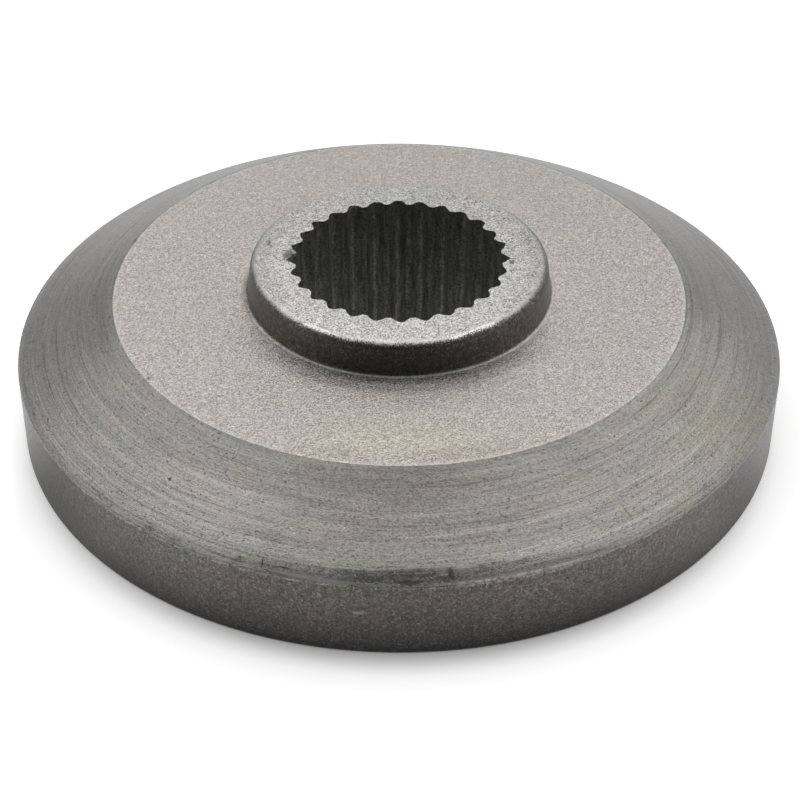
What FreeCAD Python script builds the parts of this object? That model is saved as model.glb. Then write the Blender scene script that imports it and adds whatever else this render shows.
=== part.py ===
import FreeCAD, Part
import math
import os
from FreeCAD import Vector

# Mower blade adapter: one round piece of pressed and sintered steel with a turned bevel.
# The axis is Z, the underside lies on Z = 0 and the hub faces up.
# Lengths are millimetres and angles are degrees.

# Rim, the plain outer wall
rim_diameter = 80.5
rim_height = 8.2  # from the underside to where the bevel meets the wall
rim_edge_round = 0.15
underside_chamfer = 0.15

# Turned bevel and the flat land inside it
bevel_angle = 30.0  # from the horizontal
land_diameter = 59.9
land_edge_round = 0.15

# Hub on the land
hub_diameter = 31.5  # at its foot
hub_rise = 3.5  # above the land
hub_draft = 4.5  # lean of the wall, from pressing
hub_edge_round = 0.7
hub_foot_round = 0.2

# Splined bore, which the spindle drives
inch = 25.4
spline_teeth = 28
spline_diametral_pitch = 32  # teeth for each inch of pitch diameter
spline_pressure_angle = 45.0
spline_clearance = 0.05  # added to the width of each space
addendum_modules = 0.4  # tooth height inside the pitch circle
dedendum_modules = 0.6  # root depth outside it
first_space_angle = 1.0  # from the X axis to the middle of one space
lead_in = 0.5  # chamfer past the roots, on the underside

# Sizes that follow from those above
rim_radius = rim_diameter / 2
land_radius = land_diameter / 2
bevel_slope = math.tan(math.radians(bevel_angle))
land_height = rim_height + (rim_radius - land_radius) * bevel_slope
hub_foot_radius = hub_diameter / 2
hub_top_radius = hub_foot_radius - hub_rise * math.tan(math.radians(hub_draft))
hub_top = land_height + hub_rise

module = inch / spline_diametral_pitch
pitch_radius = spline_teeth * module / 2
minor_radius = pitch_radius - addendum_modules * module
major_radius = pitch_radius + dedendum_modules * module
pressure_angle = math.radians(spline_pressure_angle)
base_radius = pitch_radius * math.cos(pressure_angle)
tooth_step = 2 * math.pi / spline_teeth
space_half_width = (math.pi * module / 2 + spline_clearance) / 2

# How the curves are worked out
flank_points = 6
solving_steps = 50
cut_margin = 1.0  # how far the bore's cutter stands out of the piece


def corner_arc(before, corner, after, radius):
    """An arc that rounds a corner, no longer than its two sides allow."""
    to_before = before - corner
    to_after = after - corner
    side = min(to_before.Length, to_after.Length)
    to_before.normalize()
    to_after.normalize()
    half_angle = to_before.getAngle(to_after) / 2
    run = min(radius / math.tan(half_angle), 0.45 * side)
    radius = run * math.tan(half_angle)
    inward = (to_before + to_after).normalize()
    middle = corner + inward * (radius / math.sin(half_angle) - radius)
    return Part.Arc(corner + to_before * run, middle, corner + to_after * run)


def rounded_outline(corners):
    """A closed outline in the XZ plane from corners of (radius, height, rounding)."""
    points = [Vector(radius, 0, height) for radius, height, rounding in corners]
    curves = []
    ends = []
    for i, (radius, height, rounding) in enumerate(corners):
        if rounding > 0:
            arc = corner_arc(points[i - 1], points[i], points[(i + 1) % len(points)], rounding)
            curves.append(arc)
            ends.append((arc.StartPoint, arc.EndPoint))
        else:
            curves.append(None)
            ends.append((points[i], points[i]))
    edges = []
    for i, curve in enumerate(curves):
        if curve:
            edges.append(curve.toShape())
        start = ends[i][1]
        end = ends[(i + 1) % len(ends)][0]
        edges.append(Part.LineSegment(start, end).toShape())
    return Part.Wire(edges)


def turned_body():
    """The solid disc: rim, bevel, land and hub, with no bore yet."""
    outline = rounded_outline([
        (0, 0, 0),
        (rim_radius - underside_chamfer, 0, 0),
        (rim_radius, underside_chamfer, 0),
        (rim_radius, rim_height, rim_edge_round),
        (land_radius, land_height, land_edge_round),
        (hub_foot_radius, land_height, hub_foot_round),
        (hub_top_radius, hub_top, hub_edge_round),
        (0, hub_top, 0),
    ])
    return Part.Face(outline).revolve(Vector(0, 0, 0), Vector(0, 0, 1), 360)


def involute(angle):
    return math.tan(angle) - angle


def space_half_angle(radius):
    """Half the angle that a space between teeth takes up at a radius."""
    at_pitch = space_half_width / pitch_radius + involute(pressure_angle)
    return at_pitch - involute(math.acos(base_radius / radius))


def radius_where(half_angle):
    """The radius at which a space has this half angle."""
    low = base_radius
    high = 2 * pitch_radius
    for step in range(solving_steps):
        radius = (low + high) / 2
        if space_half_angle(radius) > half_angle:
            low = radius
        else:
            high = radius
    return low


def root_centre(radius):
    """Where a flank's normal at a radius crosses the space's middle line, and how far off it is."""
    angle = space_half_angle(radius)
    lean = math.acos(base_radius / radius)
    flank = Vector(radius * math.cos(angle), radius * math.sin(angle), 0)
    touch = Vector(base_radius * math.cos(angle - lean), base_radius * math.sin(angle - lean), 0)
    centre = flank + (touch - flank) * (flank.y / (flank.y - touch.y))
    return centre.x, (centre - flank).Length


def root_start():
    """The radius where the flanks run tangent into the round root, which ends on the major circle."""
    low = pitch_radius
    high = radius_where(0)
    for step in range(solving_steps):
        radius = (low + high) / 2
        centre, rounding = root_centre(radius)
        if centre + rounding > major_radius:
            high = radius
        else:
            low = radius
    return low


def spot(radius, angle):
    return Vector(radius * math.cos(angle), radius * math.sin(angle), 0)


def flank(middle, side, radii):
    """One involute flank, on side -1 or 1 of the middle of a space."""
    curve = Part.BSplineCurve()
    curve.interpolate([spot(radius, middle + side * space_half_angle(radius)) for radius in radii])
    return curve


def spline_outline():
    """The closed outline of the bore: for each tooth step a space, then the tip of a tooth."""
    tip_radius = max(minor_radius, radius_where(tooth_step / 2))
    root_radius = root_start()
    centre, rounding = root_centre(root_radius)
    rise = (root_radius - tip_radius) / (flank_points - 1)
    radii = [tip_radius + i * rise for i in range(flank_points)]
    edges = []
    for i in range(spline_teeth):
        middle = math.radians(first_space_angle) + i * tooth_step
        up = flank(middle, -1, radii)
        down = flank(middle, 1, radii[::-1])
        root = Part.Arc(up.EndPoint, spot(centre + rounding, middle), down.StartPoint)
        edges += [up.toShape(), root.toShape(), down.toShape()]
        if tip_radius == minor_radius:
            next_start = spot(tip_radius, middle + tooth_step - space_half_angle(tip_radius))
            tip_middle = spot(tip_radius, middle + tooth_step / 2)
            edges.append(Part.Arc(down.EndPoint, tip_middle, next_start).toShape())
    return Part.Wire(edges)


def bore_cutter():
    """The splined hole and its lead-in at the underside, as one solid to take away."""
    face = Part.Face(spline_outline())
    face.translate(Vector(0, 0, -cut_margin))
    hole = face.extrude(Vector(0, 0, hub_top + 2 * cut_margin))
    widest = major_radius + lead_in
    lead = Part.makeCone(widest + cut_margin, minor_radius, widest + cut_margin - minor_radius,
                         Vector(0, 0, -cut_margin))
    return hole.fuse(lead)


blade_adapter = turned_body().cut(bore_cutter())

os.makedirs("parts", exist_ok=True)
blade_adapter.exportStep("parts/blade_adapter.step")
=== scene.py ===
import math
from functools import cached_property

import bpy
import numpy as np
from mathutils import Matrix, Vector, noise


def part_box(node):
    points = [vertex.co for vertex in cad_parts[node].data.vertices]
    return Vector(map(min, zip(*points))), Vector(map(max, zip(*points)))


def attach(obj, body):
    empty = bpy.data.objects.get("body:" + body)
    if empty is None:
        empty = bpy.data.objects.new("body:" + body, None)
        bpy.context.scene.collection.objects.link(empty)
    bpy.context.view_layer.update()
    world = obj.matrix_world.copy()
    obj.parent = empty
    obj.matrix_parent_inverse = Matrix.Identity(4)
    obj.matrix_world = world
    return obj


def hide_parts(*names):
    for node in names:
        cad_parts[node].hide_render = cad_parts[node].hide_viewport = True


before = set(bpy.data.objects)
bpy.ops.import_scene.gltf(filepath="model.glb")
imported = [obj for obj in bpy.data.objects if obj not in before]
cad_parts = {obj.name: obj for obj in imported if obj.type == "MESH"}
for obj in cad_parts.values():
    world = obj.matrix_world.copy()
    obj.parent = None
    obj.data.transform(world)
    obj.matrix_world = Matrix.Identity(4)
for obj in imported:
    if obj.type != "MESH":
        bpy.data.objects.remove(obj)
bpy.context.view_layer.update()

# The looks of a mower blade adapter: pressed and sintered steel with a turned bevel.
# Lengths are millimetres until the mesh is made. Turns round the axis are degrees,
# anticlockwise from the right as seen from above, so the front is at -90.
NODE = "blade_adapter"
MM = 0.001
FRONT = -90

# Main sizes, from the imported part
low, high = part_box(NODE)
rim_radius = (high.x - low.x) / 2 / MM
hub_top = high.z / MM

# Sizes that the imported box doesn't tell, as in the part's source
rim_height = 8.2
rim_edge_round = 0.15
bevel_angle = 30
land_radius = 59.9 / 2
land_edge_round = 0.15
hub_rise = 3.5

# The hub's wall as the photo shows it, a few tenths of a millimetre off the part's source
hub_foot_radius = 15.92
hub_draft = 7.3
hub_edge_round = 0.9
hub_foot_round = 0.4

# The underside's edge, rounded here where the source has a small chamfer
underside_round = 0.26

# Dark pressed skin on the bevel, outside the turned face
skin_width = 0.1
strip_radius = 38.40  # where the uncut strip along the front starts

land_height = hub_top - hub_rise
hub_top_radius = hub_foot_radius - hub_rise * math.tan(math.radians(hub_draft))

# The spline
inch = 25.4
spline_teeth = 28
diametral_pitch = 32  # teeth for each inch of pitch diameter
pressure_angle = math.radians(45)
spline_clearance = 0.05  # added to the width of each space
addendum_modules = 0.4
dedendum_modules = 0.6
first_space_angle = 1.0  # turn to the middle of one space
lead_in = 0.5  # chamfer past the roots, on the underside

module = inch / diametral_pitch
pitch_radius = spline_teeth * module / 2
minor_radius = pitch_radius - addendum_modules * module
major_radius = pitch_radius + dedendum_modules * module
base_radius = pitch_radius * math.cos(pressure_angle)
tooth_step = 2 * math.pi / spline_teeth

# How fine the mesh is: columns round the axis, rings along each straight stretch of the
# section, and steps round each rounded corner
samples_per_tooth = 22
columns = spline_teeth * samples_per_tooth
underside_rings = 8
rim_rings = 14
bevel_rings = 62
land_rings = 14
hub_wall_rings = 5
hub_top_rings = 7
bore_rings = 10
lead_in_rings = 6
low_edge_steps = 4
rim_edge_steps = 7
land_edge_steps = 3
foot_steps = 5
hub_edge_steps = 8
sharp_angle = 38  # faces that meet at more than this aren't shaded as one
solving_steps = 40


# The outline of the bore

def involute(angle):
    return math.tan(angle) - angle


def space_half_angle(radius):
    """Half the angle that a space between teeth takes up at a radius."""
    half_width = (math.pi * module / 2 + spline_clearance) / 2
    at_pitch = half_width / pitch_radius + involute(pressure_angle)
    return at_pitch - involute(math.acos(base_radius / radius))


def flank_radius(half_angle):
    """The radius at which a space has this half angle."""
    inner = base_radius
    outer = 2 * pitch_radius
    for step in range(solving_steps):
        radius = (inner + outer) / 2
        if space_half_angle(radius) > half_angle:
            inner = radius
        else:
            outer = radius
    return inner


def root_circle():
    """Centre, radius and half angle of the round root that the flanks run into."""
    inner = pitch_radius
    outer = flank_radius(0)
    for step in range(solving_steps):
        radius = (inner + outer) / 2
        angle = space_half_angle(radius)
        lean = math.acos(base_radius / radius)
        flank = (radius * math.cos(angle), radius * math.sin(angle))
        touch = (base_radius * math.cos(angle - lean), base_radius * math.sin(angle - lean))
        share = flank[1] / (flank[1] - touch[1])
        centre = flank[0] + (touch[0] - flank[0]) * share
        rounding = math.hypot(centre - flank[0], flank[1])
        if centre + rounding > major_radius:
            outer = radius
        else:
            inner = radius
    return centre, rounding, angle


def bore_radii(angles):
    """The bore's radius at each angle: round root, involute flanks and flat tooth tips."""
    centre, rounding, root_angle = root_circle()
    tip_angle = space_half_angle(minor_radius)
    radii = []
    for angle in angles:
        from_space = (angle - math.radians(first_space_angle)) / tooth_step
        offset = abs(from_space - round(from_space)) * tooth_step
        if offset < root_angle:
            across = centre * math.sin(offset)
            radii.append(centre * math.cos(offset) + math.sqrt(rounding ** 2 - across ** 2))
        elif offset < tip_angle:
            radii.append(flank_radius(offset))
        else:
            radii.append(minor_radius)
    return np.array(radii)


# The section, as rings from the underside round the rim and up to the bore's mouth

def even(count):
    """Shares of a stretch, evenly spaced from 0 to just short of 1."""
    return np.linspace(0, 1, count + 1)[:-1]


def gathered(count):
    """Shares of a stretch from 0 to just short of 1, closer together near both ends."""
    return 0.6 * (0.5 - 0.5 * np.cos(math.pi * even(count))) + 0.4 * even(count)


def along(start, end, shares):
    """Points at these shares of the way from start to end."""
    run, rise = end[0] - start[0], end[1] - start[1]
    return [(start[0] + run * share, start[1] + rise * share) for share in shares]


def rounded_corner(before, corner, after, rounding, count):
    """Points on the arc that rounds a corner, with both of its ends."""
    corner = Vector(corner)
    to_before = (Vector(before) - corner).normalized()
    to_after = (Vector(after) - corner).normalized()
    half = to_before.angle(to_after) / 2
    run = rounding / math.tan(half)
    centre = corner + (to_before + to_after).normalized() * rounding / math.sin(half)
    first = corner + to_before * run - centre
    last = corner + to_after * run - centre
    points = []
    for i in range(count + 1):
        blend = first.slerp(last, i / count)
        points.append(tuple(centre + blend.normalized() * rounding))
    return points


def section_rings():
    """Rings of (radius, height, name of the face that starts there), and the last radius."""
    bore_foot = (major_radius + lead_in, 0)
    low_corner = (rim_radius, 0)
    rim_corner = (rim_radius, rim_height)
    land_corner = (land_radius, land_height)
    foot_corner = (hub_foot_radius, land_height)
    hub_corner = (hub_top_radius, hub_top)
    axis = (0, hub_top)
    low_edge = rounded_corner(bore_foot, low_corner, rim_corner, underside_round, low_edge_steps)
    rim_edge = rounded_corner(low_corner, rim_corner, land_corner, rim_edge_round,
                              rim_edge_steps)
    land_edge = rounded_corner(rim_corner, land_corner, foot_corner, land_edge_round,
                               land_edge_steps)
    foot = rounded_corner(land_corner, foot_corner, hub_corner, hub_foot_round, foot_steps)
    hub_edge = rounded_corner(foot_corner, hub_corner, axis, hub_edge_round, hub_edge_steps)
    faces = [
        ("underside", along(bore_foot, low_edge[0], gathered(underside_rings))),
        ("rim", low_edge),
        ("rim", along(low_edge[-1], rim_edge[0], gathered(rim_rings))[1:]),
        ("corner", rim_edge[:-1]),
        ("bevel", along(rim_edge[-1], land_edge[0], even(bevel_rings))),
        ("bevel", land_edge[:-1]),
        ("land", along(land_edge[-1], foot[0], gathered(land_rings))),
        ("hub_wall", foot[:-1]),
        ("hub_wall", along(foot[-1], hub_edge[0], gathered(hub_wall_rings))),
        ("hub_edge", hub_edge[:-1]),
    ]
    rings = [(radius, height, name) for name, points in faces for radius, height in points]
    return rings, hub_edge[-1][0]


# The mouth's rings: the border on the hub's face in which it turns dark, and how far down
# the chips and burrs reach
mouth_border = 0.05
least_burr_depth = 0.02
most_burr_depth = 0.45
bend_inward, bend_down = 0.3, 0.4  # where a burr's slope bends, as shares of its two sizes
upper_bore = 0.5  # from the hub's face down to the first plain ring of the bore
above_lead_in = 0.15


def adapter_rings(angles):
    """Every ring of the mesh as (radii, heights, face name), in order round the section."""
    def level(height):
        return np.full(columns, height)

    bore = bore_radii(angles)
    rings, last_radius = section_rings()
    made = [(np.full(columns, radius), level(height), name) for radius, height, name in rings]
    mouth = chipped_bore(bore, angles)
    for share in even(hub_top_rings):
        made.append((last_radius * (1 - share) + mouth * share, level(hub_top), "hub_top"))
    made.append((mouth + mouth_border, level(hub_top), "hub_top"))
    made.append((mouth, level(hub_top), "mouth"))
    depth = np.clip(np.abs(mouth - bore), least_burr_depth, most_burr_depth)
    bend = bore * (1 - bend_inward) + mouth * bend_inward
    made.append((bend, hub_top - depth * bend_down, "mouth"))
    made.append((bore, hub_top - depth, "bore"))
    lead_top = major_radius + lead_in - minor_radius
    for height in np.linspace(hub_top - upper_bore, lead_top + above_lead_in, bore_rings):
        made.append((bore, level(height), "bore"))
    for height in lead_top * (1 - even(lead_in_rings)):
        cone = major_radius + lead_in - height
        made.append((np.maximum(bore, cone), level(height), "bore"))
    return made


# How a value changes round the piece

def smooth(value, start, end):
    """0 up to start, 1 from end on, and an even curve between."""
    share = np.clip((value - start) / (end - start), 0, 1)
    return share * share * (3 - 2 * share)


def window(value, opens, closes):
    """0 outside and 1 inside, with a soft start and a soft end, each given by its two ends."""
    return smooth(value, *opens) * (1 - smooth(value, *closes))


def around(angles, middle):
    """Degrees from a place on the circle, from -180 to 180."""
    return (np.degrees(angles) - middle + 180) % 360 - 180


def near(angles, middle, full, none):
    """1 within some degrees of a place on the circle, falling to 0 at some more."""
    return 1 - smooth(np.abs(around(angles, middle)), full, none)


def swell(angles, middle, width, steepness=2):
    """1 at a place on the circle, dying away over about this many degrees on each side."""
    return np.exp(-np.abs(around(angles, middle) / width) ** steepness)


def wander(radius, angles, lengthwise, across=0, seed=0):
    """Smooth noise over rings and columns, with the two counts of features to a mm."""
    turn = radius * lengthwise
    third = radius * across + seed
    return np.array([noise.noise(Vector((turn * math.cos(a), turn * math.sin(a), third)))
                     for a in angles])


def fine_rim(angles):
    """Small unevenness that the rim's corner and the edge of its skin share."""
    return wander(rim_radius, angles, 1.3, seed=7)


def slow_rim(angles):
    """Long unevenness that the edges of the dark skin share."""
    return wander(rim_radius, angles, 0.2, seed=19)


# Where the dark pressed skin is. The degrees and shares follow the photo.

def uncut(angles):
    """How much pressed skin the lathe left along the front edge: 1 for all, less in streaks."""
    turn = around(angles, FRONT)
    before = 0.58 * smooth(turn, -26, -14)
    whole = window(turn, (-15, -3), (6.5, 9.5))
    after = 0.68 * (1 - smooth(turn, 9, 32))
    return np.maximum(np.where(turn < 0, before, after), whole)


def skin_start(angles):
    """The radius at which the turned face ends and the dark pressed skin starts."""
    left = window(around(angles, FRONT), (-50, -38), (-22, -14))
    uneven = 0.05 * slow_rim(angles) + (0.05 + 0.3 * left) * fine_rim(angles)
    return rim_radius - skin_width - 0.05 * left + uneven


def strip_start(angles):
    """The inner edge of the strip along the front that the lathe left uncut."""
    short = wander(rim_radius, angles, 0.9, seed=33)
    return strip_radius + 0.18 * slow_rim(angles) + 0.1 * short


def dark_corner(heights, angles):
    """Skin on the rim's corner, up to where the lathe cut."""
    start = rim_height - 0.11 + 0.05 * fine_rim(angles)
    return np.maximum(1 - smooth(heights, start, start + 0.06), 0.6 * uncut(angles))


def dark_bevel(radii, angles):
    """Skin on the bevel: a thin line outside the turned face, and the uncut strip."""
    worn_through = window(around(angles, FRONT), (-56, -44), (-14, -8))
    start = skin_start(angles)
    edge = smooth(radii, start, start + 0.18) * (1 - 0.5 * worn_through)
    start = strip_start(angles)
    return np.maximum(edge, uncut(angles) * smooth(radii, start - 0.1, start + 0.75))


def dark_hub(radii, heights, angles):
    """Skin on the hub's wall, worn off its top edge and thin at its foot, and also painted shade:
    where it starts and how softly it fades change round the hub.
    """
    past_edge = radii - hub_top_radius + 0.8 + hub_top - heights
    higher = 0.04 + 0.25 * near(angles, -5, 45, 75) + 0.15 * near(angles, -95, 12, 35)
    start = 0.2 * wander(hub_top_radius, angles, 0.5, seed=63) - higher
    fade = 1.35 + 0.3 * (1 - near(angles, FRONT, 35, 80))
    at_foot = 0.15 + 0.3 * near(angles, -172, 8, 22)
    above_foot = smooth(heights, land_height - 0.02, land_height + 0.3)
    return smooth(past_edge, start, start + fade) * (at_foot + (1 - at_foot) * above_foot)


def dark_share(radii, heights, name, angles):
    """1 on the dark skin that the die's wall rubbed, 0 on bright faces."""
    if name in ("rim", "bore"):
        return np.ones(columns)
    if name == "corner":
        return dark_corner(heights, angles)
    if name == "bevel":
        return dark_bevel(radii, angles)
    if name in ("hub_top", "hub_edge", "hub_wall"):
        return dark_hub(radii, heights, angles)
    if name == "mouth":
        return 0.9 - 0.3 * swell(angles, 176, 8)
    return np.zeros(columns)


# Wear and tool marks, as small cuts into the surface
ripple_depth = 0.006
groove_depth = 0.012
strip_depth = 0.05
rim_wear = 0.02
rim_chips = 0.2
rim_wear_tilt = 38
land_wear = 0.02
land_nibbles = 0.12
land_wear_tilt = 15

# The mouth: the radius that its unevenness is scaled for, and how much wider all of it is
mouth_scale = 10
mouth_wear = 0.03

# Burrs at the mouth that reach in further: turn, degrees to each side and length
long_burrs = ((-6, 14, 0.09), (-57, 9, 0.07), (68, 14, 0.08))


def turning_cut(radius, angles):
    """How deep the lathe's grooves cut at one ring."""
    ripple = wander(radius, angles, 0.06, across=3.2)
    groove = wander(radius, angles, 0.03, across=2.6, seed=40)
    return ripple_depth * (0.5 + ripple) + groove_depth * smooth(groove, 0.25, 0.5)


def bevel_cut(radius, angles):
    """How deep a ring of the bevel lies: its grooves, and the hollow along the uncut strip."""
    grooved = window(radius, (land_radius, land_radius + 0.3), (39.5, 40))
    start = strip_start(angles)
    strip = smooth(radius, start - 0.3, start + 0.4) * smooth(uncut(angles), 0.3, 1)
    strip = strip * (1 - smooth(radius, 39.3, 40.1))
    return turning_cut(radius, angles) * grooved + strip_depth * strip


def rim_cut(angles):
    """How far the rim's corner is worn back, left of the front."""
    ragged = window(around(angles, FRONT), (-44, -35), (-16, -12))
    return ragged * (rim_wear + rim_chips * np.clip(fine_rim(angles) + 0.1, 0, 1))


def land_cut(angles):
    """How far the land's edge is nibbled back."""
    nibbled = np.clip(wander(land_radius, angles, 1.2, seed=90) - 0.1, 0, 1)
    return land_wear + land_nibbles * nibbled


def cut_back(radii, heights, corner, tilt, depth):
    """Points beyond a slanting cut at a corner, moved in to it."""
    across, up = math.sin(math.radians(tilt)), math.cos(math.radians(tilt))
    beyond = (radii - corner[0]) * across + (heights - corner[1]) * up + depth
    beyond = np.maximum(beyond, 0)
    return radii - beyond * across, heights - beyond * up


def worn(radii, heights, name, angles):
    """One ring of the mesh with its wear."""
    if name == "bevel":
        depth = bevel_cut(radii[0], angles)
        slope = math.radians(bevel_angle)
        radii = radii - depth * math.sin(slope)
        heights = heights - depth * math.cos(slope)
    if name in ("bevel", "corner", "rim"):
        corner = (rim_radius, rim_height)
        radii, heights = cut_back(radii, heights, corner, rim_wear_tilt, rim_cut(angles))
    if name in ("bevel", "land"):
        corner = (land_radius, land_height)
        radii, heights = cut_back(radii, heights, corner, land_wear_tilt, land_cut(angles))
    return radii, heights


def chipped_bore(bore, angles):
    """The bore's mouth: ragged teeth, most at the back, a chip at each side, and burrs."""
    def above_none(lengthwise, seed, lowered=0.0):
        return np.maximum(wander(mouth_scale, angles, lengthwise, seed=seed) - lowered, 0)

    rough = above_none(1.4, 55, 0.1) + 0.3 * above_none(3.5, 71)
    ragged = 0.5 * rough * (1 - 0.7 * near(angles, FRONT, 60, 120))
    left_chip = (0.12 + 0.6 * above_none(2.5, 14)) * swell(angles, 176, 6, 4)
    right_chip = 0.2 * swell(angles, 1, 1.8)
    burr = 0.13 + 0.12 * near(angles, 0, 20, 70)
    for turn, width, length in long_burrs:
        burr = burr + length * swell(angles, turn, width)
    burr = burr * (0.4 + 0.6 * smooth(bore, pitch_radius, major_radius))
    return bore + mouth_wear + ragged + left_chip + right_chip - burr


# Each face's material slot, where it isn't the first
face_slots = {"bevel": 1, "bore": 2, "rim": 3, "corner": 3, "hub_edge": 3, "hub_wall": 3}


def ring_faces(count):
    """Four corners of each face between the rings, as numbers of points."""
    ring = np.arange(count)[:, None]
    column = np.arange(columns)[None, :]
    next_ring = (ring + 1) % count
    next_column = (column + 1) % columns
    corners = [ring * columns + column, ring * columns + next_column,
               next_ring * columns + next_column, next_ring * columns + column]
    return np.stack(corners, axis=2).reshape(-1, 4)


def adapter_mesh():
    angles = math.radians(first_space_angle) + np.arange(columns) * 2 * math.pi / columns
    rings = adapter_rings(angles)
    made = [worn(radii, heights, name, angles) for radii, heights, name in rings]
    radii = np.array([ring[0] for ring in made])
    heights = np.array([ring[1] for ring in made])
    points = np.stack([radii * np.cos(angles), radii * np.sin(angles), heights], axis=2) * MM
    mesh = bpy.data.meshes.new("adapter_steel")
    mesh.from_pydata(points.reshape(-1, 3).tolist(), [], ring_faces(len(rings)).tolist())
    slots = np.repeat([face_slots.get(name, 0) for radii, heights, name in rings], columns)
    mesh.polygons.foreach_set("material_index", slots.astype(np.int32))
    dark = np.array([dark_share(*ring, angles) for ring in rings]).reshape(-1)
    share = mesh.attributes.new("dark", "FLOAT", "POINT")
    share.data.foreach_set("value", dark.astype(np.float32))
    mesh.shade_smooth()
    mesh.set_sharp_from_angle(angle=math.radians(sharp_angle))
    mesh.validate()
    return mesh


# Materials

class Nodes:
    """A short way to write a node tree."""

    def __init__(self, owner):
        self.owner = owner
        owner.use_nodes = True
        self.tree = owner.node_tree
        self.tree.nodes.clear()

    def give(self, socket, value):
        """Set an input to a value, or link it to an output."""
        if isinstance(value, bpy.types.NodeSocket):
            self.tree.links.new(value, socket)
        else:
            socket.default_value = value

    def add(self, kind, inputs=(), **settings):
        node = self.tree.nodes.new("ShaderNode" + kind)
        for key, value in settings.items():
            setattr(node, key, value)
        for key, value in dict(inputs).items():
            self.give(node.inputs[key], value)
        return node

    def math(self, operation, first, second=0.0):
        return self.add("Math", {0: first, 1: second}, operation=operation).outputs[0]

    def product(self, first, *others):
        for other in others:
            first = self.math("MULTIPLY", first, other)
        return first

    def rest(self, share):
        """What a share leaves of 1."""
        return self.math("SUBTRACT", 1.0, share)

    def raised(self, share, amount):
        """1, and more by an amount times a share."""
        return self.math("ADD", 1.0, self.product(share, amount))

    def off(self, value, middle):
        """How far a value is from a middle one."""
        return self.math("ABSOLUTE", self.math("SUBTRACT", value, middle))

    def vector(self, operation, first, second):
        return self.add("VectorMath", {0: first, 1: second}, operation=operation).outputs[0]

    def times(self, colour, factor):
        """A colour made lighter or darker by a factor."""
        return self.add("VectorMath", {0: colour, "Scale": factor}, operation="SCALE").outputs[0]

    def length(self, vector):
        return self.add("VectorMath", {0: vector}, operation="LENGTH").outputs["Value"]

    def spread(self, value, from_low, from_high, to_low=0.0, to_high=1.0, shape="LINEAR"):
        """A value's range between two limits, carried over to another range."""
        inputs = {"Value": value, "From Min": from_low, "From Max": from_high,
                  "To Min": to_low, "To Max": to_high}
        return self.add("MapRange", inputs, interpolation_type=shape).outputs["Result"]

    def swing(self, noise, low=0.0, high=1.0, half=0.2):
        """Noise carried over to a range: low at half below 0.5, and high at half above it."""
        return self.spread(noise, 0.5 - half, 0.5 + half, low, high)

    def toned(self, colour, share, factor):
        """A colour made lighter or darker by a factor where a share is 1."""
        return self.times(colour, self.spread(share, 0, 1, 1.0, factor))

    def mix(self, share, first, second):
        """The first colour, and by a share the second."""
        node = self.add("Mix", data_type="RGBA")
        for key, kind, value in (("Factor", "VALUE", share), ("A", "RGBA", first),
                                 ("B", "RGBA", second)):
            socket = next(s for s in node.inputs if s.name == key and s.type == kind)
            self.give(socket, value)
        return next(s for s in node.outputs if s.type == "RGBA")

    def bump(self, height, depth, normal=None):
        """A fine relief: depth is in mm for a height from 0 to 1."""
        inputs = {"Height": height, "Strength": 1.0, "Distance": depth * MM}
        if normal:
            inputs["Normal"] = normal
        return self.add("Bump", inputs).outputs[0]


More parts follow.
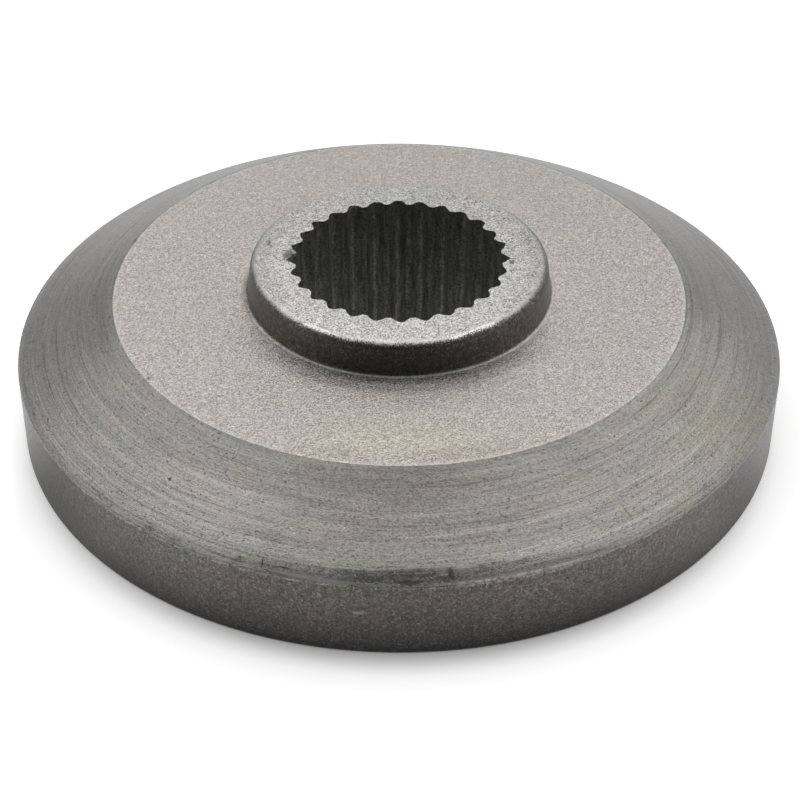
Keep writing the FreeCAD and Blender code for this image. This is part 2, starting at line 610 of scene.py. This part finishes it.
class Surface(Nodes):
    """A material's nodes, with where each point of the surface lies, in mm.

    The nodes of a measure are added when it's first used."""

    def __init__(self, name):
        super().__init__(bpy.data.materials.new(name))
        self.place = self.times(self.add("TexCoord").outputs["Object"], 1 / MM)
        parts = self.add("SeparateXYZ", {0: self.place}).outputs
        self.x, self.y, self.height = parts["X"], parts["Y"], parts["Z"]

    @cached_property
    def radius(self):
        """Distance from the axis."""
        return self.length(self.vector("MULTIPLY", self.place, (1, 1, 0)))

    @cached_property
    def rightness(self):
        """-1 at the left, 1 at the right."""
        return self.math("DIVIDE", self.x, self.radius)

    @cached_property
    def backness(self):
        """-1 at the front, 1 at the back."""
        return self.math("DIVIDE", self.y, self.radius)

    @cached_property
    def sideness(self):
        """0 at the front and the back, 1 at the sides."""
        return self.math("ABSOLUTE", self.rightness)

    @cached_property
    def above_rim(self):
        """1 well above the rim, so also on all of the hub's wall."""
        return self.spread(self.height, rim_height + 1, rim_height + 2)

    @cached_property
    def on_hub(self):
        """1 on the hub from 2 mm above the land."""
        return self.spread(self.height, land_height + 1, land_height + 2)

    def noise(self, scale, detail=2.0, roughness=0.5, place=None):
        """Noise with this many features to a mm."""
        inputs = {"Vector": place or self.place, "Scale": scale, "Detail": detail,
                  "Roughness": roughness}
        return self.add("TexNoise", inputs).outputs["Fac"]

    def ring_noise(self, lengthwise, across, detail, roughness=0.5):
        """Noise in streaks round the axis, with the two counts of features to a mm."""
        parts = self.add("SeparateXYZ", {0: self.times(self.place, lengthwise)}).outputs
        place = self.add("CombineXYZ", {0: parts["X"], 1: parts["Y"],
                                        2: self.product(self.radius, across)}).outputs[0]
        return self.noise(1.0, detail, roughness, place)

    def mark(self, centre, size, lean=0.0, ragged=0.35, inner=0.7):
        """1 inside an oval mark and 0 outside it, seen from above.

        centre is a radius and a turn, size is half the length round the axis and half
        the width, and lean turns the mark anticlockwise."""
        angle = math.radians(centre[1])
        middle = (centre[0] * math.cos(angle), centre[0] * math.sin(angle), 0)
        away = self.vector("SUBTRACT", self.place, middle)
        back = -math.radians(centre[1] + 90 + lean)
        turned = self.add("VectorRotate", {"Vector": away, "Angle": back},
                          rotation_type="Z_AXIS").outputs[0]
        distance = self.length(self.vector("MULTIPLY", turned, (1 / size[0], 1 / size[1], 0)))
        if ragged:
            uneven = self.swing(self.noise(5.0, 2.0), -ragged, ragged, 0.3)
            distance = self.math("ADD", distance, uneven)
        return self.spread(distance, inner, 1.15, 1.0, 0.0)

    def shaded(self, colour, shades, inner=0.2):
        """A colour with soft areas of painted light and shade on it."""
        for centre, size, factor in shades:
            shade = self.mark(centre, size, ragged=0, inner=inner)
            colour = self.toned(colour, shade, factor)
        return colour

    def marked(self, colour, mark, strength, mark_colour):
        """A colour with a single mark on it."""
        return self.mix(self.product(mark, strength), colour, mark_colour)

    def dark_skin(self, roughening, border=(0.2, 0.8)):
        """The mesh's share of dark skin, with its border broken up."""
        share = self.add("Attribute", attribute_name="dark", attribute_type="GEOMETRY")
        return self.spread(self.math("ADD", share.outputs["Fac"], roughening), *border)

    def steel(self, colour, roughness, normal, coat=()):
        """The finished material."""
        inputs = {"Base Color": colour, "Metallic": 1.0, "Roughness": roughness, "Normal": normal}
        shader = self.add("BsdfPrincipled", {**inputs, **dict(coat)})
        self.add("OutputMaterial", {"Surface": shader.outputs[0]})
        return self.owner


def rgb(red, green, blue):
    return (red, green, blue, 1)


# Noise on the pressed faces: features to a mm, detail and roughness
flat_grain = (6.2, 1.5, 0.6)
skin_grain = (4.6, 1.5, 0.6)
pressed_mottle = (1.9, 2.0, 0.6)

# Painted light and shade, as areas a little lighter or darker: radius and turn of the middle,
# half length round the axis and half width, and the factor
land_painted_shading = (((28.9, -78), (11, 1.8), 0.87), ((28.7, -102), (4.5, 1.4), 0.89))
rim_painted_shading = (((40.25, -149), (9.5, 4), 0.66), ((40.25, -30), (7, 4), 0.78),
              ((40.25, -120), (5, 4), 1.15), ((40.25, -86), (8, 4), 0.84),
              ((40.25, -19), (4, 4), 0.92), ((40.25, -132), (5, 4), 0.92))
bevel_painted_shading = (((32.6, -88), (13, 5.5), 0.75), ((33.6, -57), (10, 5), 0.84),
                ((31.8, -118), (12, 2.5), 0.90), ((32.6, -15), (7.5, 5.5), 1.30),
                ((36, 13), (10, 4.5), 0.87), ((32.8, -154), (9, 4), 1.12),
                ((40.0, -66), (9, 0.9), 0.72), ((37.9, -87), (9, 1.3), 0.90),
                ((36.3, 168), (13, 4), 0.90))

# Areas that differ in another way: radius and turn of the middle, half length and half width
warm_land = ((26.5, -88), (14, 5))
# The worn front of the hub's edge and worn spots on it, lighter also as painted highlights
worn_hub_edge_highlight = ((14.7, -90), (15, 0.75))
worn_highlight_spots = (((15.0, -121), (2.4, 0.25)), ((14.85, -56.5), (1.7, 0.35)),
              ((15.0, -65), (1.6, 0.2)))
olive_bevel = ((36.5, -33), (12, 5.5))
scored_bevel = ((37.9, -152), (22, 2.6))
corner_burr_highlight = ((39.0, -73), (7, 3.0))

# Single marks: radius and turn of the middle, half length and half width, lean
hub_stains = (((14.03, 167.8), (0.55, 0.22), 10), ((12.86, -24.6), (0.6, 0.07), 35))
land_stains = (((27.3, -51.0), (0.9, 0.05), 0), ((29.6, -146.5), (0.3, 0.25), 0))
mouth_chips = (((11.5, 176.5), (1.1, 0.7), 0), ((11.7, -2.6), (0.4, 0.3), 0))
pits = (((35.46, -127.8), (0.2, 0.16), 0), ((39.4, -111.8), (0.2, 0.12), 0),
        ((39.3, -82.9), (0.3, 0.5), 15), ((39.85, -88.5), (1.0, 0.24), 0),
        ((39.4, -105.5), (0.5, 0.07), 0))
small_pits = (((36.24, -51.4), (0.15, 0.13), 0), ((38.45, -64.9), (0.16, 0.1), 0),
              ((39.2, -64.1), (0.14, 0.14), 0))
pale_patch = ((39.1, -84.2), (0.5, 0.22), 0)
notch = ((39.45, -108.5), (0.07, 0.5), 12)
crack = ((37.8, -55.3), (0.06, 0.95), 8)
crack_end = ((37.2, -55.85), (0.07, 0.6), 8)
ochre_spot = ((39.3, -110.4), (0.8, 0.2), 0)
rim_fleck = ((40.2, -95.3), (0.5, 0.5), 0)
rim_fleck_height = 4.96

# Colours
land_colours = (rgb(0.560, 0.529, 0.511), rgb(0.576, 0.532, 0.500))
warm_land_colour = rgb(0.640, 0.580, 0.515)
hub_colour = rgb(0.605, 0.585, 0.565)
skin_colours = (rgb(0.076, 0.070, 0.0586), rgb(0.086, 0.074, 0.0586))
hub_skin_tint = (0.64, 0.66, 0.62)
bevel_colours = (rgb(0.277, 0.272, 0.257), rgb(0.291, 0.277, 0.253))
olive_tint = (0.985, 1.0, 0.93)
strip_colour = (0.082, 0.080, 0.076)
strip_edge_colour = (0.122, 0.115, 0.103)
turned_corner_colour = (0.285, 0.278, 0.262)
bore_colours = (rgb(0.140, 0.140, 0.129), rgb(0.330, 0.330, 0.304))


def bright_face(n, grain, mottle):
    """The colour of the bright pressed faces, the land and the hub's top, with painted light and
    shade.
    """
    off_hub = n.rest(n.on_hub)
    at_side = n.spread(n.sideness, 0.75, 0.95)
    blotch = n.noise(0.32, 3.0, 0.55)
    flat = n.mix(n.swing(blotch, 0, 1, 0.15), *land_colours)
    flat = n.mix(n.mark(*warm_land, ragged=0, inner=0.1), flat, warm_land_colour)
    flat = n.mix(n.on_hub, flat, hub_colour)
    # Painted light: the land darker towards the back and the right, the hub's face more steeply
    # towards the back
    slope = n.mix(n.on_hub, (0.0016, 0.0012, 0, 1), (0.0025, 0.009, 0, 1))
    fall = n.add("VectorMath", {0: n.place, 1: slope}, operation="DOT_PRODUCT").outputs["Value"]
    flat = n.times(flat, n.rest(fall))
    flat = n.times(flat, n.swing(mottle, 0.86, 1.14))

    # Painted shade on the outer ring of the hub's face at the left and right sides
    side_painted_shade = n.product(at_side, n.on_hub, n.spread(n.radius, 12.8, 14.2))
    flat = n.toned(flat, side_painted_shade, 0.85)
    # Painted light on the land beside the hub's foot at the left and right sides
    painted_light_beside_hub = n.product(at_side, n.spread(n.radius, 16.4, 18.8, 1.0, 0.0), off_hub)
    flat = n.toned(flat, painted_light_beside_hub, 1.16)
    # Painted light and shade in areas of the land
    flat = n.shaded(flat, land_painted_shading)

    swing = n.product(n.spread(n.on_hub, 0, 1, 0.46, 0.66), n.spread(n.y, 8, 28, 1.0, 0.5))
    flat = n.times(flat, n.raised(n.swing(grain, -1, 1), swing))
    specks = n.spread(n.noise(3.8, 1.0, 0.5), 0.60, 0.74)
    flat = n.marked(flat, specks, 0.55, rgb(0.92, 0.91, 0.89))
    pores = n.spread(n.noise(2.6, 1.0), 0.30, 0.22)
    flat = n.marked(flat, pores, n.spread(n.on_hub, 0, 1, 0.35, 0.8), rgb(0.13, 0.12, 0.11))

    # A lighter, worn border along the land's edge, also a painted highlight
    land_edge = n.product(n.spread(n.radius, land_radius - 0.6, land_radius - 0.15),
                          n.spread(n.noise(0.8, 2.0), 0.3, 0.6, 0.35, 1.0))
    flat = n.marked(flat, land_edge, 0.35, rgb(0.80, 0.79, 0.77))
    # Painted highlights on the worn front of the hub's edge and on worn spots along it
    hub_edge = n.mark(*worn_hub_edge_highlight, ragged=0.25, inner=0.2)
    flat = n.marked(flat, hub_edge, 0.4, rgb(0.85, 0.85, 0.84))
    for spot in worn_highlight_spots:
        flat = n.marked(flat, n.mark(*spot, ragged=0.5), 0.8, rgb(1.0, 1.0, 1.0))
    for stain in hub_stains + land_stains:
        flat = n.marked(flat, n.mark(*stain), 0.6, rgb(0.17, 0.145, 0.125))
    for chip in mouth_chips:
        flat = n.marked(flat, n.mark(*chip, ragged=0.6), 0.75, rgb(0.10, 0.095, 0.09))
    return painted_shade_at_foot(n, flat, grain, off_hub)


def painted_shade_at_foot(n, flat, grain, off_hub):
    """Painted shade on the land round the front of the hub's foot, broken up by the grain."""
    ring = n.math("ADD", n.spread(n.radius, 16.8, 17.6, 0.28, 0.0),
                  n.spread(n.radius, 18.0, 19.0, 0.26, 0.0))
    at_front = n.product(n.spread(n.y, -9.5, -15.5), off_hub)
    ring = n.product(ring, n.swing(grain, 1.5, 0.5), at_front)
    flat = n.times(flat, n.rest(ring))
    beside_foot = n.spread(n.radius, 16.2, 17.0, 0.16, 0.0)
    beside_foot = n.product(beside_foot, n.spread(n.y, -4, -9), off_hub)
    return n.times(flat, n.rest(beside_foot))


def skin_face(n, grain, mottle):
    """The colour of the dark skin on the rim and the hub's wall."""
    blotch = n.noise(0.4, 3.0, 0.6)
    skin = n.mix(n.swing(blotch, 0, 1, 0.15), *skin_colours)
    skin = n.times(skin, n.swing(mottle, 0.55, 1.45))
    skin = n.times(skin, n.swing(grain, 0.38, 1.62))
    skin = n.mix(n.spread(n.noise(3.4, 1.0), 0.58, 0.78), skin, rgb(0.225, 0.215, 0.196))
    hub_skin = n.vector("MULTIPLY", skin, hub_skin_tint)
    # Painted light and shade on the hub's wall, set by which way each part faces and by its height
    upper_front_shade = n.product(n.spread(n.backness, -0.93, -0.98),
                            n.spread(n.height, hub_top - 2.3, hub_top - 1.1))
    wall_painted_shading = n.product(
        n.spread(n.backness, -1.0, -0.75, 0.58, 1.55), n.spread(n.backness, -0.65, -0.3, 1.0, 0.7),
        n.spread(n.rightness, -0.95, -0.68, 0.73, 1.13),
        n.spread(n.rightness, -0.5, -0.25, 1.0, 0.88),
        n.spread(n.sideness, 0.94, 1.0, 1.0, 1.4), n.spread(upper_front_shade, 0, 1, 1.0, 0.75),
        n.spread(n.height, land_height + 0.4, land_height + 1.4, 1.3, 1.0))
    # Painted light and shade in areas of the rim
    skin = n.mix(n.above_rim, n.shaded(skin, rim_painted_shading), n.times(hub_skin, wall_painted_shading))
    fleck = n.spread(n.off(n.height, rim_fleck_height), 0.12, 0.25, 0.7, 0.0)
    skin = n.marked(skin, n.mark(*rim_fleck), fleck, rgb(0.3, 0.28, 0.25))
    # Painted shade: the rim's skin darker towards the floor
    return n.times(skin, n.spread(n.height, 0.0, 6.5, 0.2, 1.0))


def sintered_material():
    """Pressed and sintered steel: bright grain on the land and, stronger, on the hub's face."""
    n = Surface("sintered_steel")
    grain = n.noise(*flat_grain)
    mottle = n.noise(*pressed_mottle)
    skin = skin_face(n, n.noise(*skin_grain), mottle)
    dark = n.dark_skin(n.swing(grain, -0.4, 0.4, 0.3))
    colour = n.mix(dark, bright_face(n, grain, mottle), skin)
    return n.steel(colour, 0.44, n.bump(grain, 0.16, n.bump(mottle, 0.06)))


def skin_material():
    """Dark skin from the press, with a thin glossy oxide, worn through on edges."""
    n = Surface("pressed_skin")
    bright_grain = n.noise(*flat_grain)
    grain = n.noise(*skin_grain)
    mottle = n.noise(*pressed_mottle)
    turned = n.times(turned_corner_colour, n.swing(grain, 0.7, 1.3))
    bright = n.mix(n.above_rim, turned, bright_face(n, bright_grain, mottle))
    dark = n.dark_skin(n.swing(bright_grain, -0.6, 0.6, 0.3))
    colour = n.mix(dark, bright, skin_face(n, grain, mottle))
    oxide = {"Coat Weight": 0.75, "Coat Roughness": 0.45, "Coat IOR": 1.5}
    return n.steel(colour, 0.5, n.bump(grain, 0.08, n.bump(mottle, 0.08)), oxide)


def bevel_level(n, grain, streak, mottle):
    """How light the turned face is: its grooves and bands, and areas of painted light and shade."""
    swing = n.product(n.swing(grain, -1, 1), n.spread(n.backness, -1.0, -0.9, 0.38, 0.26))
    streaks = n.product(n.swing(streak, -0.18, 0.18, 0.25),
                        n.spread(n.rightness, 0.78, 0.95, 1.0, 0.5))
    band = n.ring_noise(0.05, 0.8, 2.0)
    line = n.ring_noise(0.05, 4.2, 0.5)
    level = n.product(
        n.math("ADD", 1.0, swing), n.math("ADD", 1.0, streaks),
        n.swing(band, 0.94, 1.06), n.swing(mottle, 0.94, 1.06),
        n.spread(line, 0.27, 0.31, 0.74, 1.0), n.spread(line, 0.67, 0.73, 1.0, 1.12))

    # Wider bands, and painted light and shade that differ between the front and the back: the
    # middle lighter, the sides and back darker, and the bands at the inner and outer edge darker at
    # the front
    furrow = n.swing(n.ring_noise(0.11, 2.5, 0.0), -1, 1)
    inner_edge = n.spread(n.radius, land_radius + 0.2, land_radius + 1.1, 1.0, 0.0)
    light_band = n.spread(n.off(n.radius, 38.5), 0.4, 0.9, 1.0, 0.0)
    outer_edge = n.product(n.spread(n.radius, 39.1, 39.7), n.spread(streak, 0.3, 0.6, 1.4, 0.6))
    level = n.product(
        level, n.spread(n.off(n.radius, 35.2), 0.8, 3.2, 1.08, 1.0),
        n.spread(n.backness, -0.7, 0, 1.0, 0.96), n.spread(n.backness, 0.2, 0.6, 1.0, 0.88),
        n.raised(furrow, n.spread(n.backness, -0.95, -0.75, 0.08, 0.04)),
        n.raised(inner_edge, n.spread(n.backness, -0.85, -0.3, -0.14, 0.1)),
        n.raised(light_band, n.spread(n.backness, -0.6, -0.3, 0.1, 0.0)),
        n.raised(outer_edge, n.spread(n.backness, -0.75, -0.1, -0.26, 0.16)))
    scored = n.product(n.spread(n.ring_noise(0.04, 7.5, 0.5), 0.56, 0.66),
                       n.mark(*scored_bevel, ragged=0, inner=0.3))
    return n.product(level, n.spread(scored, 0, 1, 1.0, 1.3))


def strip_skin(n, grain, streak, mottle):
    """The colour of the pressed skin that the lathe left on the bevel."""
    skin = n.times(strip_colour, n.product(n.swing(streak, 0.5, 1.5, 0.25),
                                           n.swing(grain, 0.3, 1.7, 0.25)))
    skin = n.times(skin, n.swing(mottle, 0.72, 1.28))
    skin = n.times(skin, n.spread(n.radius, 38.6, 39.5, 1.12, 0.88))
    edge = n.math("ADD", n.radius, n.swing(grain, -0.1, 0.1, 0.3))
    edge_skin = n.times(strip_edge_colour, n.swing(grain, 0.5, 1.5, 0.25))
    skin = n.mix(n.spread(edge, 39.80, 39.92), skin, edge_skin)
    return n.mix(n.spread(n.noise(3.4, 1.0), 0.70, 0.76), skin, rgb(0.30, 0.30, 0.29))


def bevel_marks(n, colour):
    """The bevel's pits, notch, crack and spots, and the burr at its outer corner, lighter as a
    painted highlight.
    """
    for pit in pits:
        colour = n.marked(colour, n.mark(*pit), 0.8, rgb(0.038, 0.037, 0.034))
    for pit in small_pits:
        colour = n.marked(colour, n.mark(*pit), 0.5, rgb(0.07, 0.065, 0.055))
    for mark, strength, mark_colour in ((pale_patch, 0.45, rgb(0.165, 0.165, 0.17)),
                                        (notch, 1.0, rgb(0.03, 0.03, 0.028)),
                                        (crack, 0.7, rgb(0.12, 0.095, 0.05)),
                                        (crack_end, 0.5, rgb(0.42, 0.35, 0.24)),
                                        (ochre_spot, 0.35, rgb(0.25, 0.22, 0.13))):
        colour = n.marked(colour, n.mark(*mark), strength, mark_colour)
    # The burr along the outer corner, with a painted highlight
    burr = n.product(n.mark(*corner_burr_highlight, ragged=0.2, inner=0.5),
                     n.spread(n.radius, 39.9, 40.0), n.spread(n.noise(1.2, 2.0), 0.35, 0.55))
    return n.marked(colour, burr, 0.6, rgb(0.38, 0.37, 0.35))


def turned_material():
    """The bevel: turned on a lathe, with streaks round the axis, open pores and bright grains."""
    n = Surface("turned_steel")
    streak = n.ring_noise(0.2, 5.6, 1.0, 0.6)
    grain = n.ring_noise(4.2, 7.6, 1.5, 0.6)
    mottle = n.noise(1.6, 2.0)
    blotch = n.noise(0.3, 3.0)
    colour = n.mix(n.swing(blotch, 0, 1, 0.15), *bevel_colours)
    # Painted light and shade in areas of the bevel
    colour = n.shaded(colour, bevel_painted_shading, inner=0.1)
    colour = n.times(colour, bevel_level(n, grain, streak, mottle))
    olive = n.vector("MULTIPLY", colour, olive_tint)
    colour = n.marked(colour, n.mark(*olive_bevel, ragged=0, inner=0.2),
                      n.spread(blotch, 0.3, 0.6), olive)
    pores = n.spread(n.ring_noise(2.6, 4.6, 0.5), 0.665, 0.77)
    colour = n.marked(colour, pores, 0.66, rgb(0.075, 0.070, 0.062))
    border = n.math("ADD", n.swing(grain, -0.6, 0.6, 0.3), n.swing(streak, -0.45, 0.45, 0.3))
    dark = n.dark_skin(border, (0.3, 0.7))
    colour = n.mix(dark, colour, strip_skin(n, grain, streak, mottle))
    bright_grains = n.spread(n.noise(4.4, 1.0), 0.69, 0.79)
    colour = n.mix(bright_grains, colour, n.times(colour, 1.7))
    colour = bevel_marks(n, colour)
    pitted = n.spread(n.noise(3.6, 0.5), 0.68, 0.78, 1.0, 0.0)
    relief = n.bump(streak, 0.015, n.bump(grain, 0.02, n.bump(pitted, 0.03)))
    return n.steel(colour, 0.4, relief)


def bore_material():
    """The spline: broached, dark, with faint streaks along the teeth."""
    n = Surface("bore_steel")
    along_teeth = n.vector("MULTIPLY", n.place, (3.0, 3.0, 0.35))
    streak = n.noise(1.0, 2.0, place=along_teeth)
    fine = n.noise(4.6, 2.0)
    colour = n.mix(n.swing(fine), *bore_colours)
    colour = n.times(colour, n.swing(streak, 0.7, 1.3))
    colour = n.times(colour, n.spread(n.radius, minor_radius, major_radius, 0.8, 1.25))
    # Painted light and shade down the bore: darker near the mouth, lighter towards the bottom
    colour = n.times(colour, n.spread(n.height, hub_top - 5, hub_top, 1.0, 0.75))
    colour = n.times(colour, n.spread(n.height, 1, hub_top - 5, 1.3, 1.0))
    return n.steel(colour, 0.66, n.bump(fine, 0.10))


def make_adapter():
    mesh = adapter_mesh()
    for material in (sintered_material(), turned_material(), bore_material(), skin_material()):
        mesh.materials.append(material)
    piece = bpy.data.objects.new("adapter_disc", mesh)
    bpy.context.scene.collection.objects.link(piece)
    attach(piece, "root")
    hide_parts(NODE)


# Floor, lights and camera. The floor's and the softboxes' sizes are metres.
floor_half = 4.0
floor_level = 0.85
white = 1.0

# The floor's glow: how far outside the rim it starts and is full, and how much farther out
# that is at the front than at the back, in mm
glow_start = -3.6
glow_full = 0.6
shade_shift = 3.0

# How much glow there is in general, more at the far left, and more past the rim on each
# side, from the middle outward
floor_glow = 0.42
far_left_glow = 0.10
left_glow = (0.012, 0.06)
right_glow = (0.0, 0.022)

# Where the floor looks dimmer in the rim: radius and turn of the middle, half length and
# half width, share lost
dim_floor = (((44.5, -155), (11, 6), 0.9), ((44.5, -27), (7, 5), 0.6))


def grey(level):
    return (level, level, level, 1)


def glow_level(n):
    """How much white the floor shows beyond the piece's shadow."""
    distance = n.length(n.vector("ADD", n.place, (0, shade_shift, 0)))
    start, full = rim_radius + glow_start, rim_radius + glow_full
    glow = n.spread(distance, start, full, 0.0, floor_glow, "SMOOTHSTEP")
    glow = n.math("ADD", glow, n.spread(n.x, -38, -41, 0.0, far_left_glow))
    at_left = n.spread(n.x, -12, -34, *left_glow)
    at_right = n.spread(n.x, 12, 34, *right_glow)
    past_rim = n.spread(distance, rim_radius - 0.6, rim_radius + 1.4)
    return n.math("ADD", glow, n.product(n.math("ADD", at_left, at_right), past_rim))


def make_floor():
    """A plain pale floor that the camera, and reflections, see as white."""
    half = floor_half
    corners = [(-half, -half, 0), (half, -half, 0), (half, half, 0), (-half, half, 0)]
    mesh = bpy.data.meshes.new("floor")
    mesh.from_pydata(corners, [], [(0, 1, 2, 3)])
    floor = bpy.data.objects.new("floor", mesh)
    bpy.context.scene.collection.objects.link(floor)
    n = Surface("white_floor")
    rays = n.add("LightPath").outputs
    in_rim = rays["Is Glossy Ray"]
    for centre, size, lost in dim_floor:
        dim = n.mark(centre, size, ragged=0, inner=0.3)
        in_rim = n.product(in_rim, n.rest(n.product(dim, lost)))
    seen = n.math("MAXIMUM", in_rim, rays["Is Transmission Ray"])
    seen = n.math("MAXIMUM", rays["Is Camera Ray"], seen)
    diffuse = n.add("BsdfDiffuse", {"Color": grey(floor_level)})
    glow = n.add("Emission", {"Color": grey(white), "Strength": n.product(seen, glow_level(n))})
    both = n.add("AddShader", {0: diffuse.outputs[0], 1: glow.outputs[0]})
    n.add("OutputMaterial", {"Surface": both.outputs[0]})
    mesh.materials.append(n.owner)


# Softboxes: elevation, turn from the back towards the right, size and brightness
softbox_distance = 0.85
softboxes = {
    "back_softbox": (40, 0, (0.6, 0.35), 1.05),
    "back_high_softbox": (64, 0, (0.6, 0.25), 0.8),
    "top_softbox": (72, 180, (0.5, 0.3), 1.5),
    "left_low_softbox": (42, -60, (0.4, 0.4), 0.99),
    "left_high_softbox": (64, -80, (0.4, 0.4), 1.65),
    "right_low_softbox": (42, 60, (0.4, 0.4), 1.03),
    "right_high_softbox": (64, 80, (0.4, 0.4), 1.5),
}

# The studio's walls and ceiling: axis of the direction, where each starts and is full,
# and its brightness. The front is dark.
studio_walls = (("Y", -0.3, 0.9, 0.28), ("X", -0.2, -0.9, 0.3),
                ("X", -0.2, 0.9, 0.45), ("Z", 0.45, 1.0, 0.25))


def make_softbox(name, elevation, turn, size, brightness):
    """A softbox that looks equally bright from anywhere in front of it."""
    up = math.radians(elevation)
    side = math.radians(turn)
    direction = Vector((math.cos(up) * math.sin(side), math.cos(up) * math.cos(side), math.sin(up)))
    lamp = bpy.data.lights.new(name, "AREA")
    lamp.shape = "RECTANGLE"
    lamp.size, lamp.size_y = size
    lamp.energy = math.pi * size[0] * size[1] * brightness
    softbox = bpy.data.objects.new(name, lamp)
    softbox.location = direction * softbox_distance
    softbox.rotation_euler = (-direction).to_track_quat("-Z", "Y").to_euler()
    bpy.context.scene.collection.objects.link(softbox)


def make_studio():
    """Pale studio walls and ceiling that fall off to a dark front."""
    n = Nodes(bpy.data.worlds.new("studio"))
    direction = n.add("SeparateXYZ", {0: n.add("TexCoord").outputs["Generated"]}).outputs
    level = 0.0
    for axis, start, end, brightness in studio_walls:
        wall = n.spread(direction[axis], start, end, 0.0, brightness, "SMOOTHSTEP")
        level = n.math("ADD", wall, level)
    background = n.add("Background", {"Color": grey(white), "Strength": level})
    n.add("OutputWorld", {"Surface": background.outputs[0]})
    bpy.context.scene.world = n.owner


# The photo's camera, worked out from the ellipses of the rim, the land and the hub
camera_elevation = math.radians(36.93)
camera_distance = 222.4
camera_aim = Vector((0.12, 0, -0.75))
camera_roll = math.radians(0.19)
image_pixels = 800
focal_pixels = 2036.3
sensor_width = 36.0


def make_camera():
    place = Vector((0, -math.cos(camera_elevation), math.sin(camera_elevation))) * camera_distance
    back = (place - camera_aim).normalized()
    right = Vector((0, 0, 1)).cross(back).normalized()
    up = back.cross(right)
    turned_right = right * math.cos(camera_roll) + up * math.sin(camera_roll)
    turned_up = up * math.cos(camera_roll) - right * math.sin(camera_roll)
    lens = bpy.data.cameras.new("camera")
    lens.lens = focal_pixels / image_pixels * sensor_width
    lens.sensor_width = sensor_width
    lens.clip_start = 0.01
    camera = bpy.data.objects.new("camera", lens)
    axes = Matrix((turned_right, turned_up, back)).transposed()
    camera.matrix_world = Matrix.Translation(place * MM) @ axes.to_4x4()
    bpy.context.scene.collection.objects.link(camera)
    bpy.context.scene.camera = camera


make_adapter()
make_floor()
for name, settings in softboxes.items():
    make_softbox(name, *settings)
make_studio()
make_camera()
bpy.context.scene.view_settings.view_transform = "Standard"
